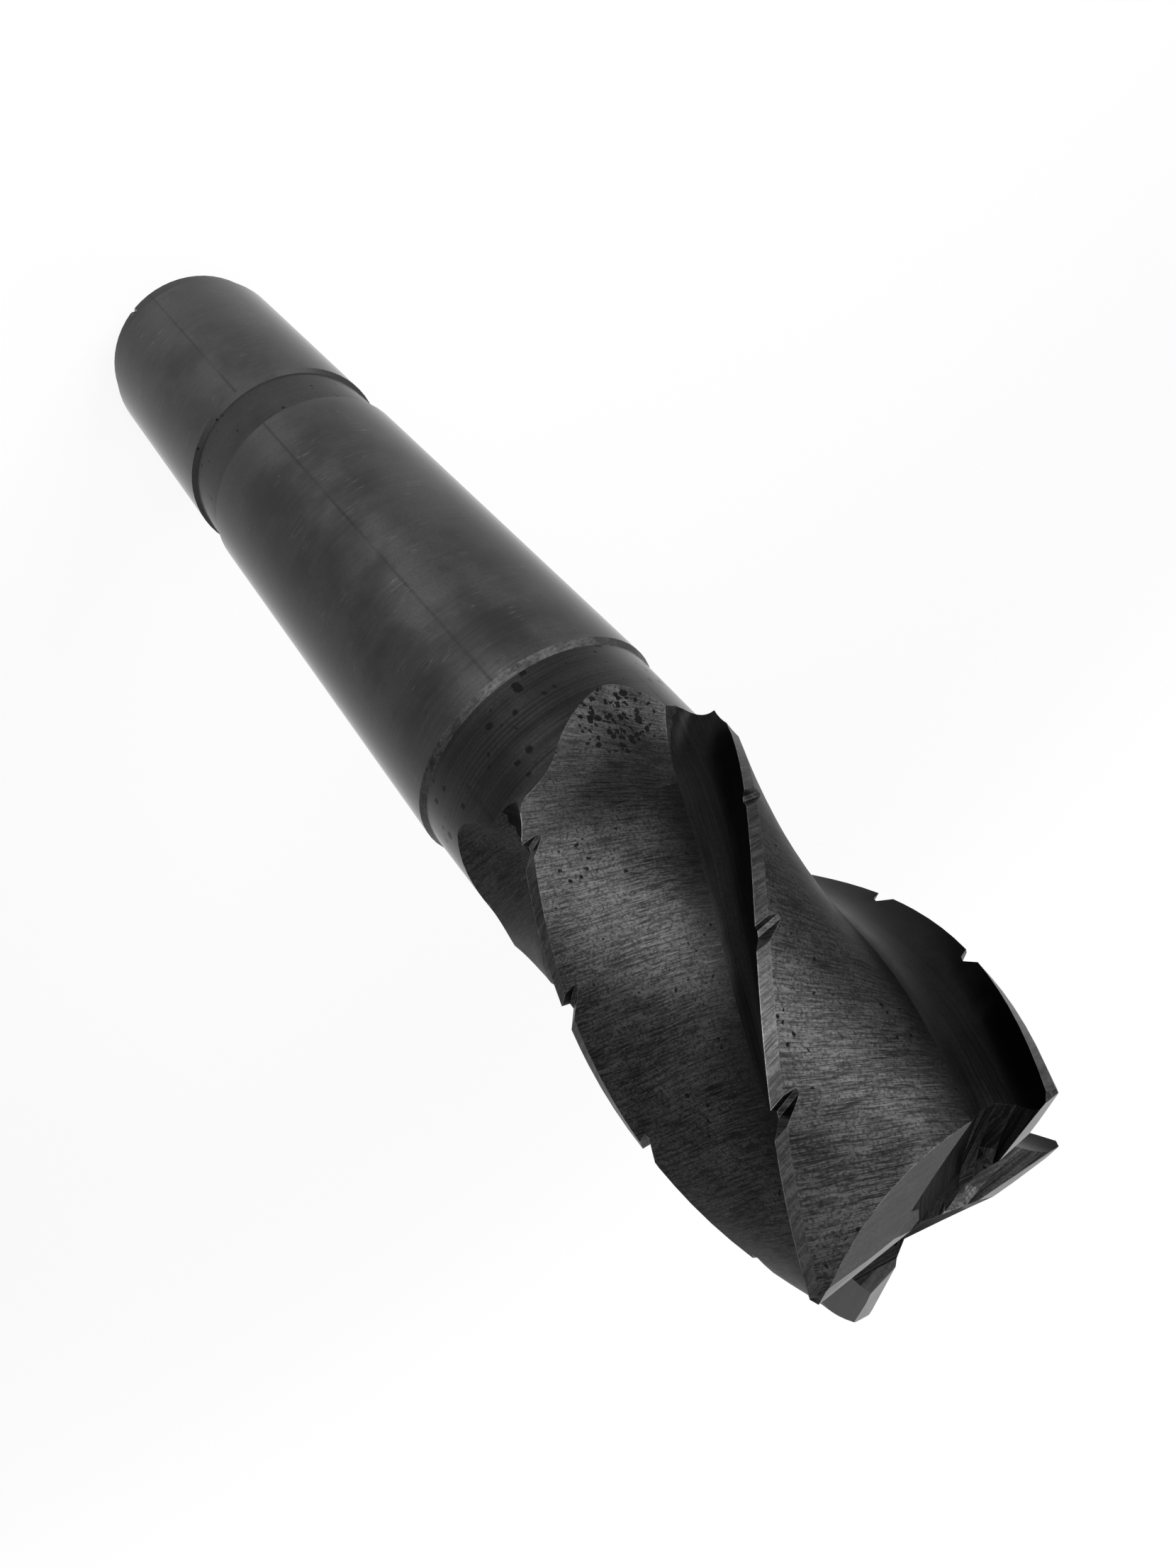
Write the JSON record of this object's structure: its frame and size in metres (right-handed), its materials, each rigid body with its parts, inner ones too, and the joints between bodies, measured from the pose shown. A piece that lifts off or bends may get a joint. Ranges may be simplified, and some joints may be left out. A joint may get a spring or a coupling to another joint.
{
  "type": "roughing end mill",
  "caption": "Solid steel roughing end mill: helical flutes with chip-breaker notches on a Morse taper 5 shank with a drawbar thread",
  "frame": {"origin": "centre of the shank's small end face, the tool standing on that face", "axes": "+Z along the tool's axis from the shank's small end to the cutting end; X and Y across it"},
  "size_m": [0.05, 0.05, 0.2283],
  "materials": {
    "tool_steel": "dark black-oxide, satin on the ground taper"
  },
  "bodies": {
    "root": {"roughing_end_mill": "tool_steel"}
  },
  "joints": []
}
